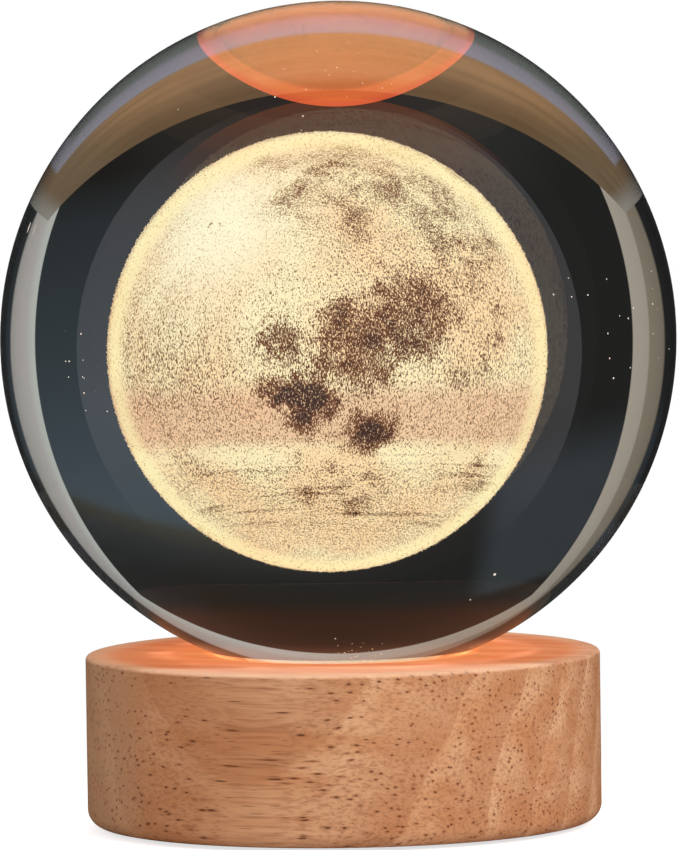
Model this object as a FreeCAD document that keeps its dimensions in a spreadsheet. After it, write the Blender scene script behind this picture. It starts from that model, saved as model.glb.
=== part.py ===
# A moon lamp: a crystal ball with a moon engraved in its middle, standing on a turned wooden base
# that hides the LEDs, their board, a power inlet and a push button.
# Millimetres. The origin is the middle of the underside, +Z is up and the rear, with the inlet, is +Y.
import FreeCAD, Part
import Sketcher
import math
import os
import re

document = FreeCAD.newDocument("moon_lamp")

# ---------------------------------------------------------------- driving dimensions

DIMENSIONS = {
    # crystal ball and its engraving
    "ball_radius": 40.0,
    "moon_radius": 17.3,
    "moon_shift": 0.9,
    "moon_drop": 1.0,
    "engraving_gap": 0.05,
    # turned wooden base
    "base_radius": 30.5,
    "wood_height": 20.2,
    "top_edge_radius": 0.5,
    "bottom_edge_radius": 2.0,
    "seat_radius": 15.4,
    "seat_chamfer": 0.4,
    "seat_gap": 0.2,
    "top_wall": 7.3,
    "chamber_roof": 9.4,
    # frosted disc and reflector cup
    "ledge_width": 1.6,
    "lens_thickness": 1.5,
    "slip_gap": 0.2,
    "cup_height": 3.7,
    "cup_wall": 1.2,
    "cup_floor_radius": 8.5,
    "ear_inset": 2.0,
    "ear_width": 4.8,
    "ear_clearance": 0.8,
    "ear_thickness": 1.0,
    "hook_reach": 0.7,
    "hook_height": 0.7,
    # LED board
    "led_board_radius": 11.0,
    "board_thickness": 1.0,
    "led_size": 2.8,
    "led_height": 0.7,
    "led_ring_radius": 5.6,
    "resistor_length": 2.0,
    "resistor_width": 1.25,
    "resistor_height": 0.5,
    # leads
    "wire_radius": 0.5,
    "wire_spacing": 2.2,
    "wire_offset": 0.5,
    "wire_clearance": 0.6,
    "wire_drop": 5.9,
    "wire_front": 8.0,
    # power board, inlet and switch at the rear
    "power_board_width": 23.2,
    "power_board_depth": 6.7,
    "board_edge_gap": 1.1,
    "inlet_offset": 4.4,
    "inlet_width": 8.94,
    "inlet_height": 3.16,
    "inlet_length": 7.35,
    "inlet_wall": 0.3,
    "tongue_width": 6.69,
    "tongue_thickness": 0.7,
    "tongue_length": 4.45,
    "contact_thickness": 0.05,
    "button_offset": 5.2,
    "button_radius": 2.2,
    "button_proud": 1.5,
    "button_travel": 1.2,
    "button_flange": 0.9,
    "button_flange_thickness": 0.6,
    "running_gap": 0.3,
    "plunger_inside": 2.6,
    "switch_width": 6.2,
    "switch_depth": 5.4,
    "plunger_radius": 1.0,
    # plate and recess round the inlet
    "slot_reach": 1.6,
    "window_wall": 1.6,
    "panel_rim": 1.3,
    "recess_width": 30.0,
    "mill_radius": 2.0,
    "window_width": 21.0,
    "panel_thickness": 1.4,
    # cover, feet and screws
    "cover_screw_inset": 1.8,
    "cover_rim": 0.4,
    "cover_thickness": 2.0,
    "cover_rib_height": 1.0,
    "cover_rib_wall": 1.2,
    "foot_radius": 4.0,
    "foot_seat": 1.0,
    "foot_proud": 0.4,
    "screw_radius": 1.0,
    "screw_head_radius": 1.9,
    "screw_head_height": 1.1,
    "small_screw_radius": 0.7,
    "small_screw_head_radius": 1.2,
    "small_screw_head_height": 0.7,
    "screw_length": 6.0,
    "small_screw_length": 3.2,
    # chip and capacitor on the power board, with their places from its rear edge and the lamp's middle
    "chip_width": 1.6,
    "chip_length": 2.9,
    "chip_height": 1.1,
    "chip_across": 1.1,
    "chip_inside": 2.7,
    "capacitor_width": 1.25,
    "capacitor_length": 2.0,
    "capacitor_height": 1.0,
    "capacitor_across": 9.9,
    "capacitor_inside": 1.4,
}

sheet = document.addObject("Spreadsheet::Sheet", "Dimensions")
for row, (name, size) in enumerate(DIMENSIONS.items(), start=1):
    sheet.set(f"A{row}", name)
    sheet.set(f"B{row}", str(size))
    sheet.setAlias(f"B{row}", name)
document.recompute()

# ---------------------------------------------------------------- sizes and places that follow from them

# From the seat outwards each radius is the one before plus a wall or a gap, and so is each height
# from the wood's top downwards, so the pieces inside follow the seat and the board's parts.
DERIVED = {
    # heights from the table
    "wood_top": "foot_proud + wood_height",
    "ball_centre": "wood_top + seat_gap + sqrt(ball_radius^2 - seat_radius^2)",
    "lens_top": "wood_top - top_wall",
    "lens_bottom": "lens_top - lens_thickness",
    "chamber_top": "wood_top - chamber_roof",
    "cup_bottom": "lens_bottom - cup_height",
    "led_board_bottom": "cup_bottom - board_thickness",
    "power_board_bottom": "chamber_top - board_thickness",
    "inlet_axis": "power_board_bottom - inlet_height / 2",
    # heights from the wood's underside
    "roof_height": "wood_height - chamber_roof",
    "ledge_height": "wood_height - top_wall",
    "panel_height": "inlet_axis - foot_proud",
    # radii from the lamp's axis
    "hole_radius": "seat_radius - seat_chamfer",
    "lens_radius": "hole_radius + ledge_width",
    "well_radius": "lens_radius + slip_gap",
    "ear_radius": "well_radius + ear_inset",
    "chamber_radius": "ear_radius + ear_width / 2 + ear_clearance",
    "cover_screw_ring": "chamber_radius + cover_screw_inset",
    "cover_radius": "cover_screw_ring + screw_head_radius + cover_rim",
    "cover_recess_radius": "cover_radius + running_gap",
    "foot_place": "(chamber_radius - foot_radius) * cos(45)",
    "collar_inside": "led_board_radius + slip_gap",
    "collar_outside": "collar_inside + cup_wall",
    # the cup, from the LED board's upper face
    "collar_drop": "board_thickness + hook_height",
    "ear_top": "chamber_top - cup_bottom",
    "ear_height": "ear_top - ear_thickness",
    # the rear, from the lamp's axis outwards
    "rear_slot_depth": "chamber_radius + slot_reach",
    "rear_slot_half_width": "power_board_width / 2 + running_gap",
    "panel_back": "rear_slot_depth + window_wall",
    "panel_face": "panel_back + panel_thickness",
    "flange_front": "panel_back - running_gap",
    "flange_back": "flange_front - button_flange_thickness",
    "switch_front": "flange_back - button_travel - running_gap",
    "window_depth": "panel_back - switch_front",
    "window_height": "2 * (button_radius + button_flange + running_gap)",
    "recess_height": "window_height + 2 * panel_rim",
    "cap_length": "panel_face + button_proud - flange_back",
    "bore_depth": "plunger_inside + button_travel + running_gap",
    "power_board_rear": "rear_slot_depth - board_edge_gap",
    "board_screw_x": "power_board_width / 2 - small_screw_head_radius - slip_gap",
    "board_screw_y": "power_board_rear - power_board_depth + 1.5 * small_screw_head_radius",
    "panel_screw_x": "recess_width / 2 - 1.5 * small_screw_head_radius",
    "inlet_inner_width": "inlet_width - 2 * inlet_wall",
    "inlet_inner_height": "inlet_height - 2 * inlet_wall",
    "inlet_back": "panel_face - inlet_length + inlet_wall",
    "block_depth": "inlet_length - tongue_length - 3 * inlet_wall",
    "countersink_depth": "screw_head_radius - screw_radius",
}


def linked(formula):
    """The formula with derived names written out and every dimension pointing at its cell."""

    def link(word):
        name = word.group()
        return f"({linked(DERIVED[name])})" if name in DERIVED else "Dimensions." + name

    return re.sub(r"[a-z]+(?:_[a-z]+)+", link, str(formula))


def value(formula):
    """The formula's number for the present dimensions."""
    return float(sheet.evalExpression(linked(formula)))


def bind(item, prop, formula):
    """Tie one property to a formula of the dimensions."""
    item.setExpression(prop, linked(formula))


# ---------------------------------------------------------------- sketches and features


def new_body(name, x="0", y="0", z="0"):
    """An empty body with its place tied to the dimensions."""
    body = document.addObject("PartDesign::Body", name)
    body.Label = name
    body.AllowCompound = True
    bind(body, "Placement.Base.x", x)
    bind(body, "Placement.Base.y", y)
    bind(body, "Placement.Base.z", z)
    return body


def new_sketch(body, name, plane, offset="0", across="0"):
    """A sketch on an origin plane of the body, moved along its normal and along its own X."""
    sketch = body.newObject("Sketcher::SketchObject", name)
    origin_plane = [item for item in body.Origin.OriginFeatures if item.Role == plane][0]
    sketch.AttachmentSupport = [(origin_plane, "")]
    sketch.MapMode = "FlatFace"
    bind(sketch, "AttachmentOffset.Base.z", offset)
    bind(sketch, "AttachmentOffset.Base.x", across)
    return sketch


def hold(sketch, kind, geometry, point, formula):
    """One distance from the sketch's origin to a point."""
    index = sketch.addConstraint(Sketcher.Constraint(kind, -1, 1, geometry, point, value(formula)))
    bind(sketch, f"Constraints[{index}]", formula)


def draw_outline(sketch, corners):
    """A closed outline of straight lines; each corner is a pair of formulas."""
    places = [FreeCAD.Vector(value(x), value(y), 0) for x, y in corners]
    first = sketch.GeometryCount
    count = len(places)
    for index, place in enumerate(places):
        sketch.addGeometry(Part.LineSegment(place, places[(index + 1) % count]), False)
    for index, (x, y) in enumerate(corners):
        before = first + (index - 1) % count
        sketch.addConstraint(Sketcher.Constraint("Coincident", before, 2, first + index, 1))
        hold(sketch, "DistanceX", first + index, 1, x)
        hold(sketch, "DistanceY", first + index, 1, y)


def draw_rectangle(sketch, x, y, width, height):
    """A rectangle round the point x, y."""
    left, right = f"{x} - ({width}) / 2", f"{x} + ({width}) / 2"
    low, high = f"{y} - ({height}) / 2", f"{y} + ({height}) / 2"
    draw_outline(sketch, [(left, low), (right, low), (right, high), (left, high)])


def draw_slot(sketch, x, y, width, height):
    """A slot round the point x, y with half-round ends."""
    left, right = f"{x} - ({width}) / 2 + ({height}) / 2", f"{x} + ({width}) / 2 - ({height}) / 2"
    low, high = f"{y} - ({height}) / 2", f"{y} + ({height}) / 2"
    radius, upward = value(height) / 2, FreeCAD.Vector(0, 0, 1)
    corners = [FreeCAD.Vector(value(a), value(b), 0)
               for a, b in ((left, low), (right, low), (right, high), (left, high))]
    right_round = Part.Circle(FreeCAD.Vector(value(right), value(y), 0), upward, radius)
    left_round = Part.Circle(FreeCAD.Vector(value(left), value(y), 0), upward, radius)
    first = sketch.GeometryCount
    sketch.addGeometry(Part.LineSegment(corners[0], corners[1]), False)
    sketch.addGeometry(Part.ArcOfCircle(right_round, -math.pi / 2, math.pi / 2), False)
    sketch.addGeometry(Part.LineSegment(corners[2], corners[3]), False)
    sketch.addGeometry(Part.ArcOfCircle(left_round, math.pi / 2, 3 * math.pi / 2), False)
    for index in range(4):
        after = first + (index + 1) % 4
        sketch.addConstraint(Sketcher.Constraint("Coincident", first + index, 2, after, 1))
    for geometry, point, a, b in ((first, 1, left, low), (first, 2, right, low),
                                  (first + 2, 1, right, high), (first + 2, 2, left, high)):
        hold(sketch, "DistanceX", geometry, point, a)
        hold(sketch, "DistanceY", geometry, point, b)
    hold(sketch, "DistanceX", first + 1, 3, right)
    hold(sketch, "DistanceX", first + 3, 3, left)


def draw_circle(sketch, x, y, radius):
    """A circle round the point x, y."""
    centre = FreeCAD.Vector(value(x), value(y), 0)
    index = sketch.addGeometry(Part.Circle(centre, FreeCAD.Vector(0, 0, 1), value(radius)), False)
    hold(sketch, "DistanceX", index, 3, x)
    hold(sketch, "DistanceY", index, 3, y)
    rule = sketch.addConstraint(Sketcher.Constraint("Radius", index, value(radius)))
    bind(sketch, f"Constraints[{rule}]", radius)


def add_feature(body, kind, sketch, length, reversed_way=False):
    """A pad or pocket of a sketch."""
    before = body.Tip.Shape.Volume if kind == "Pocket" else 0
    feature = body.newObject("PartDesign::" + kind, sketch.Name + "_" + kind.lower())
    feature.Profile = sketch
    feature.Reversed = reversed_way
    bind(feature, "Length", length)
    sketch.Visibility = False
    body.Tip = feature
    document.recompute()
    if kind == "Pocket" and feature.Shape.Volume > before - 0.001:
        raise ValueError(f"{feature.Name} cuts nothing")
    return feature


def turn(body, kind, sketch):
    """A revolution or groove of a sketch about its own vertical axis."""
    feature = body.newObject("PartDesign::" + kind, sketch.Name + "_" + kind.lower())
    feature.Profile = sketch
    feature.ReferenceAxis = (sketch, ["V_Axis"])
    feature.Angle = 360
    sketch.Visibility = False
    body.Tip = feature
    document.recompute()
    return feature


def repeat_round(body, features, count):
    """Features repeated about the body's Z axis."""
    pattern = body.newObject("PartDesign::PolarPattern", features[0].Name + "_ring")
    pattern.Originals = features
    pattern.Axis = ([item for item in body.Origin.OriginFeatures if item.Role == "Z_Axis"][0], [""])
    pattern.Angle = 360
    pattern.Occurrences = count
    body.Tip = pattern
    document.recompute()
    return pattern


def mirror_across(body, features):
    """Features mirrored to the other side of the body's YZ plane."""
    mirrored = body.newObject("PartDesign::Mirrored", features[0].Name + "_mirrored")
    mirrored.Originals = features
    mirrored.MirrorPlane = ([item for item in body.Origin.OriginFeatures if item.Role == "YZ_Plane"][0], [""])
    body.Tip = mirrored
    document.recompute()
    return mirrored


def round_edges(body, name, radius, wanted, kind="Fillet"):
    """A fillet or chamfer on the edges that the test picks."""
    base = body.Tip
    names = [f"Edge{number}" for number, edge in enumerate(base.Shape.Edges, start=1) if wanted(edge)]
    if not names:
        raise ValueError(f"{name}: no edge to round")
    feature = body.newObject("PartDesign::" + kind, name)
    feature.Base = (base, names)
    bind(feature, "Radius" if kind == "Fillet" else "Size", radius)
    body.Tip = feature
    document.recompute()
    return feature


def is_ring(edge, radius, height):
    """Whether an edge is a circle of this radius at this height."""
    near = 0.01
    return (hasattr(edge.Curve, "Radius") and abs(edge.Curve.Radius - radius) < near
            and abs(edge.CenterOfMass.z - height) < near)


def runs_along(edge, axis):
    """Whether an edge is straight and runs along one axis."""
    nearly_one = 0.999
    return isinstance(edge.Curve, Part.Line) and abs(edge.Curve.Direction.dot(axis)) > nearly_one


ALONG_Y = FreeCAD.Vector(0, 1, 0)

# ---------------------------------------------------------------- crystal ball and its engraved moon

# The ball is one solid of glass. The engraving fills a round zone a little off its middle.
blank = document.addObject("Part::Sphere", "polished_ball")
bind(blank, "Radius", "ball_radius")
zone = document.addObject("Part::Sphere", "engraved_zone")
bind(zone, "Radius", "moon_radius + engraving_gap")
bind(zone, "Placement.Base.x", "-moon_shift")
bind(zone, "Placement.Base.z", "-moon_drop")
crystal_ball = document.addObject("Part::Cut", "crystal_ball")
crystal_ball.Base = blank
crystal_ball.Tool = zone
crystal_ball.Label = "crystal_ball"
bind(crystal_ball, "Placement.Base.z", "ball_centre")

engraved_moon = document.addObject("Part::Sphere", "engraved_moon")
engraved_moon.Label = "engraved_moon"
bind(engraved_moon, "Radius", "moon_radius")
bind(engraved_moon, "Placement.Base.x", "-moon_shift")
bind(engraved_moon, "Placement.Base.z", "ball_centre - moon_drop")

# ---------------------------------------------------------------- turned wooden base

# Turned in one setting: the outside, the seat for the ball, the stepped well for the disc and the
# chamber and cover recess from below. Heights in the sketch start at the wood's underside.
wood_base = new_body("wood_base", z="foot_proud")
turned = new_sketch(wood_base, "turned_profile", "XZ_Plane")
draw_outline(turned, [
    ("cover_recess_radius", "0"),
    ("base_radius", "0"),
    ("base_radius", "wood_height"),
    ("seat_radius", "wood_height"),
    ("hole_radius", "wood_height - seat_chamfer"),
    ("hole_radius", "ledge_height"),
    ("well_radius", "ledge_height"),
    ("well_radius", "roof_height"),
    ("chamber_radius", "roof_height"),
    ("chamber_radius", "cover_thickness"),
    ("cover_recess_radius", "cover_thickness"),
])
turn(wood_base, "Revolution", turned)

# The rear slot is milled from below for the power board, up to the chamber's roof.
slot = new_sketch(wood_base, "rear_slot", "XY_Plane")
draw_outline(slot, [
    ("-rear_slot_half_width", "chamber_radius / 2"),
    ("rear_slot_half_width", "chamber_radius / 2"),
    ("rear_slot_half_width", "rear_slot_depth"),
    ("-rear_slot_half_width", "rear_slot_depth"),
])
add_feature(wood_base, "Pocket", slot, "roof_height", reversed_way=True)

# The outer recess takes the rear panel, and the window behind it lets the inlet and button through.
recess = new_sketch(wood_base, "panel_recess", "XZ_Plane", offset="-panel_back")
draw_rectangle(recess, "0", "panel_height", "recess_width", "recess_height")
add_feature(wood_base, "Pocket", recess, "base_radius")
round_edges(wood_base, "recess_corners", "mill_radius",
            lambda edge: runs_along(edge, ALONG_Y)
            and abs(abs(edge.CenterOfMass.x) - value("recess_width / 2")) < 0.01)
window = new_sketch(wood_base, "panel_window", "XZ_Plane", offset="-panel_back")
draw_rectangle(window, "0", "panel_height", "window_width", "window_height")
add_feature(wood_base, "Pocket", window, "window_depth", reversed_way=True)

# Pilot holes for the cover's and the cup's screws, three of each, and for the two small pairs.
cover_pilot = new_sketch(wood_base, "cover_pilot", "XY_Plane", offset="cover_thickness")
draw_circle(cover_pilot, "0", "-cover_screw_ring", "screw_radius")
hole = add_feature(wood_base, "Pocket", cover_pilot, "screw_length - cover_thickness", reversed_way=True)
repeat_round(wood_base, [hole], 3)
cup_pilot = new_sketch(wood_base, "cup_pilot", "XY_Plane", offset="roof_height")
draw_circle(cup_pilot, "0", "-ear_radius", "screw_radius")
hole = add_feature(wood_base, "Pocket", cup_pilot, "screw_length - ear_thickness", reversed_way=True)
repeat_round(wood_base, [hole], 3)
board_pilot = new_sketch(wood_base, "board_pilot", "XY_Plane", offset="roof_height")
for side in ("-", ""):
    draw_circle(board_pilot, side + "board_screw_x", "board_screw_y", "small_screw_radius")
add_feature(wood_base, "Pocket", board_pilot, "small_screw_length - board_thickness", reversed_way=True)
panel_pilot = new_sketch(wood_base, "panel_pilot", "XZ_Plane", offset="-panel_back")
for side in ("-", ""):
    draw_circle(panel_pilot, side + "panel_screw_x", "panel_height", "small_screw_radius")
add_feature(wood_base, "Pocket", panel_pilot, "small_screw_length - panel_thickness", reversed_way=True)

round_edges(wood_base, "top_edge", "top_edge_radius",
            lambda edge: is_ring(edge, value("base_radius"), value("wood_height")))
round_edges(wood_base, "bottom_edge", "bottom_edge_radius",
            lambda edge: is_ring(edge, value("base_radius"), 0))

# ---------------------------------------------------------------- disc and reflector cup

# The frosted disc drops into the well from below, against the ledge under the seat.
lens_disc = new_body("lens_disc", z="lens_bottom")
lens = new_sketch(lens_disc, "lens", "XY_Plane")
draw_circle(lens, "0", "0", "lens_radius")
add_feature(lens_disc, "Pad", lens, "lens_thickness")

# The cup plugs the well below the disc. Its cone throws the light up, its collar holds the LED
# board, and three ears carry it on the chamber's roof. Heights start at the board's upper face.
reflector_cup = new_body("reflector_cup", z="cup_bottom")
cone = new_sketch(reflector_cup, "cup_profile", "XZ_Plane")
draw_outline(cone, [
    ("cup_floor_radius", "0"),
    ("hole_radius - slip_gap", "cup_height"),
    ("lens_radius", "cup_height"),
    ("lens_radius", "ear_top"),
    ("hole_radius", "ear_top"),
    ("collar_outside", "0"),
    ("collar_outside", "-collar_drop"),
    ("collar_inside", "-collar_drop"),
    ("collar_inside", "0"),
])
turn(reflector_cup, "Revolution", cone)
ear = new_sketch(reflector_cup, "ear", "XY_Plane", offset="ear_height")
draw_rectangle(ear, "0", "-(ear_radius + lens_radius - 2 * cup_wall) / 2", "ear_width",
               "ear_radius - lens_radius + 2 * cup_wall")
ear_arm = add_feature(reflector_cup, "Pad", ear, "ear_thickness")
ear_end = new_sketch(reflector_cup, "ear_end", "XY_Plane", offset="ear_height")
draw_circle(ear_end, "0", "-ear_radius", "ear_width / 2")
ear_tip = add_feature(reflector_cup, "Pad", ear_end, "ear_thickness")
ear_bore = new_sketch(reflector_cup, "ear_bore", "XY_Plane", offset="ear_height")
draw_circle(ear_bore, "0", "-ear_radius", "screw_radius")
ear_hole = add_feature(reflector_cup, "Pocket", ear_bore, "ear_thickness", reversed_way=True)
repeat_round(reflector_cup, [ear_arm, ear_tip, ear_hole], 3)
hook = new_sketch(reflector_cup, "hook", "XY_Plane", offset="-collar_drop")
draw_rectangle(hook, "led_board_radius + (slip_gap + cup_wall / 2 - hook_reach) / 2", "0",
               "hook_reach + slip_gap + cup_wall / 2", "4 * cup_wall")
hook_pad = add_feature(reflector_cup, "Pad", hook, "hook_height")
repeat_round(reflector_cup, [hook_pad], 3)

# ---------------------------------------------------------------- LED board

led_board = new_body("led_board", z="led_board_bottom")
disc = new_sketch(led_board, "disc", "XY_Plane")
draw_circle(disc, "0", "0", "led_board_radius")
add_feature(led_board, "Pad", disc, "board_thickness")
key = new_sketch(led_board, "key", "XY_Plane")
draw_circle(key, "0", "-led_board_radius", "board_thickness")
add_feature(led_board, "Pocket", key, "board_thickness", reversed_way=True)

# One LED in the middle and six round it, on the board's upper face.
leds = new_body("leds", z="cup_bottom")
middle_led = new_sketch(leds, "middle_led", "XY_Plane")
draw_rectangle(middle_led, "0", "0", "led_size", "led_size")
add_feature(leds, "Pad", middle_led, "led_height")
outer_led = new_sketch(leds, "outer_led", "XY_Plane")
draw_rectangle(outer_led, "led_ring_radius", "0", "led_size", "led_size")
repeat_round(leds, [add_feature(leds, "Pad", outer_led, "led_height")], 6)

# Three chip resistors in a row on the underside.
led_resistors = new_body("led_resistors", z="led_board_bottom - resistor_height")
chips = new_sketch(led_resistors, "chips", "XY_Plane")
for place in (-1, 0, 1):
    draw_rectangle(chips, f"{place} * 2 * resistor_length", "-led_board_radius / 2",
                   "resistor_width", "resistor_length")
add_feature(led_resistors, "Pad", chips, "resistor_height")

# ---------------------------------------------------------------- power board at the rear

# The board hangs from the chamber's roof with its parts facing down, the inlet's mouth in the panel.
power_board = new_body("power_board", z="power_board_bottom")
blank_board = new_sketch(power_board, "blank_board", "XY_Plane")
draw_rectangle(blank_board, "0", "power_board_rear - power_board_depth / 2",
               "power_board_width", "power_board_depth")
for side in ("-", ""):
    draw_circle(blank_board, side + "board_screw_x", "board_screw_y", "small_screw_radius")
add_feature(power_board, "Pad", blank_board, "board_thickness")

# The chip sits between the inlet and the switch, and the capacitor beside the switch.
for name, part in (("control_chip", "chip"), ("board_capacitor", "capacitor")):
    chip = document.addObject("Part::Box", name)
    chip.Label = name
    bind(chip, "Length", part + "_width")
    bind(chip, "Width", part + "_length")
    bind(chip, "Height", part + "_height")
    bind(chip, "Placement.Base.x", f"{part}_across - {part}_width / 2")
    bind(chip, "Placement.Base.y", f"power_board_rear - {part}_inside - {part}_length / 2")
    bind(chip, "Placement.Base.z", f"power_board_bottom - {part}_height")

# The inlet's shell is folded steel, open to the rear of the lamp and closed inside.
usb_shell = new_body("usb_shell", x="-inlet_offset", y="panel_face", z="inlet_axis")
shell_outside = new_sketch(usb_shell, "shell_outside", "XZ_Plane")
draw_slot(shell_outside, "0", "0", "inlet_width", "inlet_height")
add_feature(usb_shell, "Pad", shell_outside, "inlet_length")
shell_inside = new_sketch(usb_shell, "shell_inside", "XZ_Plane")
draw_slot(shell_inside, "0", "0", "inlet_inner_width", "inlet_inner_height")
add_feature(usb_shell, "Pocket", shell_inside, "inlet_length - inlet_wall", reversed_way=True)

# The tongue stands on a block that fills the shell's closed end.
usb_tongue = new_body("usb_tongue", x="-inlet_offset", y="inlet_back", z="inlet_axis")
block = new_sketch(usb_tongue, "block", "XZ_Plane")
draw_slot(block, "0", "0", "inlet_inner_width", "inlet_inner_height")
add_feature(usb_tongue, "Pad", block, "block_depth", reversed_way=True)
blade = new_sketch(usb_tongue, "blade", "XZ_Plane")
draw_rectangle(blade, "0", "0", "tongue_width", "tongue_thickness")
add_feature(usb_tongue, "Pad", blade, "inlet_length - 3 * inlet_wall", reversed_way=True)

# Three contacts lie on each face of the tongue.
usb_contacts = new_body("usb_contacts", x="-inlet_offset", y="inlet_back + block_depth", z="inlet_axis")
strips = new_sketch(usb_contacts, "strips", "XZ_Plane")
for place in (-1, 0, 1):
    for face in (-1, 1):
        draw_rectangle(strips, f"{place} * tongue_width / 4",
                       f"{face} * (tongue_thickness + contact_thickness) / 2",
                       "tongue_width / 10", "contact_thickness")
add_feature(usb_contacts, "Pad", strips, "tongue_length * 3 / 4", reversed_way=True)

# ---------------------------------------------------------------- push switch and its cap

switch_body = new_body("switch_body", x="button_offset", y="switch_front", z="inlet_axis")
housing = new_sketch(switch_body, "housing", "XZ_Plane")
draw_rectangle(housing, "0", "0", "switch_width", "inlet_height")
add_feature(switch_body, "Pad", housing, "switch_depth")
bore = new_sketch(switch_body, "plunger_bore", "XZ_Plane")
draw_circle(bore, "0", "0", "plunger_radius + running_gap")
add_feature(switch_body, "Pocket", bore, "bore_depth", reversed_way=True)

switch_plunger = new_body("switch_plunger", x="button_offset", y="flange_back", z="inlet_axis")
stem = new_sketch(switch_plunger, "stem", "XZ_Plane")
draw_circle(stem, "0", "0", "plunger_radius")
add_feature(switch_plunger, "Pad", stem, "plunger_inside + button_travel + running_gap")

# The cap's flange keeps it behind the panel; its face stands proud of the panel for a finger.
power_button = new_body("power_button", x="button_offset", y="flange_back", z="inlet_axis")
flange = new_sketch(power_button, "flange", "XZ_Plane")
draw_circle(flange, "0", "0", "button_radius + button_flange")
add_feature(power_button, "Pad", flange, "button_flange_thickness", reversed_way=True)
cap = new_sketch(power_button, "cap", "XZ_Plane")
draw_circle(cap, "0", "0", "button_radius")
add_feature(power_button, "Pad", cap, "cap_length", reversed_way=True)
round_edges(power_button, "cap_edge", "button_radius / 5",
            lambda edge: hasattr(edge.Curve, "Radius")
            and abs(edge.CenterOfMass.y - value("cap_length")) < 0.01)

# ---------------------------------------------------------------- rear panel

rear_panel = new_body("rear_panel", y="panel_back", z="inlet_axis")
plate = new_sketch(rear_panel, "plate", "XZ_Plane")
draw_rectangle(plate, "0", "0", "recess_width - 2 * slip_gap", "recess_height - 2 * slip_gap")
add_feature(rear_panel, "Pad", plate, "panel_thickness", reversed_way=True)
round_edges(rear_panel, "plate_corners", "mill_radius", lambda edge: runs_along(edge, ALONG_Y))
mouth = new_sketch(rear_panel, "inlet_mouth", "XZ_Plane")
draw_slot(mouth, "-inlet_offset", "0", "inlet_width + 2 * slip_gap", "inlet_height + 2 * slip_gap")
add_feature(rear_panel, "Pocket", mouth, "panel_thickness")
holes = new_sketch(rear_panel, "panel_holes", "XZ_Plane")
draw_circle(holes, "button_offset", "0", "button_radius + running_gap")
for side in ("-", ""):
    draw_circle(holes, side + "panel_screw_x", "0", "small_screw_radius")
add_feature(rear_panel, "Pocket", holes, "panel_thickness")

# ---------------------------------------------------------------- bottom cover and feet

# The cover closes the chamber from below. A low rib centres it, and its screws are countersunk.
bottom_cover = new_body("bottom_cover", z="foot_proud")
cover = new_sketch(bottom_cover, "cover", "XY_Plane")
draw_circle(cover, "0", "0", "cover_radius")
add_feature(bottom_cover, "Pad", cover, "cover_thickness")
rib = new_sketch(bottom_cover, "rib", "XY_Plane", offset="cover_thickness")
draw_circle(rib, "0", "0", "chamber_radius - running_gap")
draw_circle(rib, "0", "0", "chamber_radius - running_gap - cover_rib_wall")
add_feature(bottom_cover, "Pad", rib, "cover_rib_height")
foot_seat = new_sketch(bottom_cover, "foot_seat", "XY_Plane")
draw_circle(foot_seat, "foot_place", "foot_place", "foot_radius")
seat = add_feature(bottom_cover, "Pocket", foot_seat, "foot_seat", reversed_way=True)
repeat_round(bottom_cover, [seat], 4)
cover_bore = new_sketch(bottom_cover, "cover_bore", "XY_Plane")
draw_circle(cover_bore, "0", "-cover_screw_ring", "screw_radius")
hole = add_feature(bottom_cover, "Pocket", cover_bore, "cover_thickness", reversed_way=True)
repeat_round(bottom_cover, [hole], 3)
round_edges(bottom_cover, "countersinks", "countersink_depth",
            lambda edge: is_ring(edge, value("screw_radius"), 0), kind="Chamfer")

rubber_feet = new_body("rubber_feet")
foot = new_sketch(rubber_feet, "foot", "XY_Plane")
draw_circle(foot, "foot_place", "foot_place", "foot_radius")
repeat_round(rubber_feet, [add_feature(rubber_feet, "Pad", foot, "foot_proud + foot_seat")], 4)

# ---------------------------------------------------------------- screws

# Each screw's outline starts where its head meets what it clamps; the shank points up.


def screw_ring(name, seat_height, ring, head):
    """Three screws on a ring, the first at the front; head is the outline below the seat."""
    group = new_body(name, z=seat_height)
    profile = new_sketch(group, name + "_profile", "YZ_Plane", across=f"-{ring}")
    draw_outline(profile, [("0", "screw_length"), *head, ("screw_radius", "screw_length")])
    repeat_round(group, [turn(group, "Revolution", profile)], 3)


screw_ring("cover_screws", "foot_proud", "cover_screw_ring", [
    ("0", "0"),
    ("screw_head_radius", "0"),
    ("screw_radius", "countersink_depth"),
])
screw_ring("reflector_screws", "chamber_top - ear_thickness", "ear_radius", [
    ("0", "-screw_head_height"),
    ("screw_head_radius", "-screw_head_height"),
    ("screw_head_radius", "0"),
    ("screw_radius", "0"),
])

# Two small pan-head screws hold the power board, and two the rear panel.
power_board_screws = new_body("power_board_screws", y="board_screw_y", z="power_board_bottom")
profile = new_sketch(power_board_screws, "board_screw", "XZ_Plane", across="board_screw_x")
draw_outline(profile, [
    ("0", "small_screw_length"),
    ("0", "-small_screw_head_height"),
    ("small_screw_head_radius", "-small_screw_head_height"),
    ("small_screw_head_radius", "0"),
    ("small_screw_radius", "0"),
    ("small_screw_radius", "small_screw_length"),
])
mirror_across(power_board_screws, [turn(power_board_screws, "Revolution", profile)])

rear_panel_screws = new_body("rear_panel_screws", y="panel_face", z="inlet_axis")
shank = new_sketch(rear_panel_screws, "shank", "XZ_Plane")
head = new_sketch(rear_panel_screws, "head", "XZ_Plane")
for side in ("-", ""):
    draw_circle(shank, side + "panel_screw_x", "0", "small_screw_radius")
    draw_circle(head, side + "panel_screw_x", "0", "small_screw_head_radius")
add_feature(rear_panel_screws, "Pad", shank, "small_screw_length")
add_feature(rear_panel_screws, "Pad", head, "small_screw_head_height", reversed_way=True)

# ---------------------------------------------------------------- leads

# Each lead runs down from the power board, forward under the cup and up to the LED board.


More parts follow.
